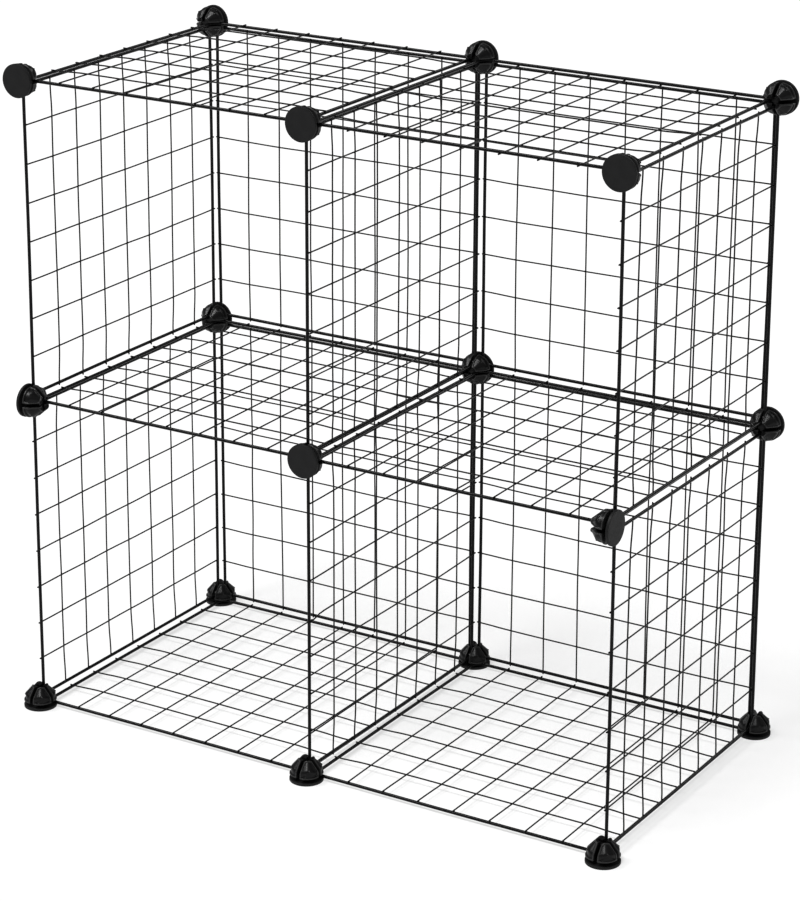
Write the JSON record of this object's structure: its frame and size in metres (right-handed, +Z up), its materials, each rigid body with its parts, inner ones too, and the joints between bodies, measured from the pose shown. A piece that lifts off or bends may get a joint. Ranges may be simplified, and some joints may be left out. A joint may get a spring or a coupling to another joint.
{
  "type": "wire grid cube storage unit",
  "caption": "Open-fronted storage unit of stacked wire cubes: black welded wire grid panels clipped together at their corners by round slotted plastic connectors.",
  "frame": {"origin": "on the floor, under the middle of the unit's width and depth", "axes": "+Z up, the open front faces -Y, +X is the right-hand side seen from the front"},
  "size_m": [0.755, 0.396, 0.7417],
  "materials": {
    "coated_wire": "satin to gloss black powder coat over steel wire",
    "connector_plastic": "moulded black plastic, slightly satin, finely grained disc faces"
  },
  "bodies": {
    "root": {"shelf_bottom_left": "coated_wire", "shelf_middle_left": "coated_wire", "shelf_top_left": "coated_wire", "back_panel_left_lower": "coated_wire", "back_panel_left_upper": "coated_wire", "shelf_bottom_right": "coated_wire", "shelf_middle_right": "coated_wire", "shelf_top_right": "coated_wire", "back_panel_right_lower": "coated_wire", "back_panel_right_upper": "coated_wire", "upright_left_lower": "coated_wire", "upright_left_upper": "coated_wire", "upright_centre_lower": "coated_wire", "upright_centre_upper": "coated_wire", "upright_right_lower": "coated_wire", "upright_right_upper": "coated_wire", "connector_bottom_front_left": "connector_plastic", "connector_bottom_front_centre": "connector_plastic", "connector_bottom_front_right": "connector_plastic", "connector_bottom_back_left": "connector_plastic", "connector_bottom_back_centre": "connector_plastic", "connector_bottom_back_right": "connector_plastic", "connector_middle_front_left": "connector_plastic", "connector_middle_front_centre": "connector_plastic", "connector_middle_front_right": "connector_plastic", "connector_middle_back_left": "connector_plastic", "connector_middle_back_centre": "connector_plastic", "connector_middle_back_right": "connector_plastic", "connector_top_front_left": "connector_plastic", "connector_top_front_centre": "connector_plastic", "connector_top_front_right": "connector_plastic", "connector_top_back_left": "connector_plastic", "connector_top_back_centre": "connector_plastic", "connector_top_back_right": "connector_plastic"}
  },
  "joints": []
}
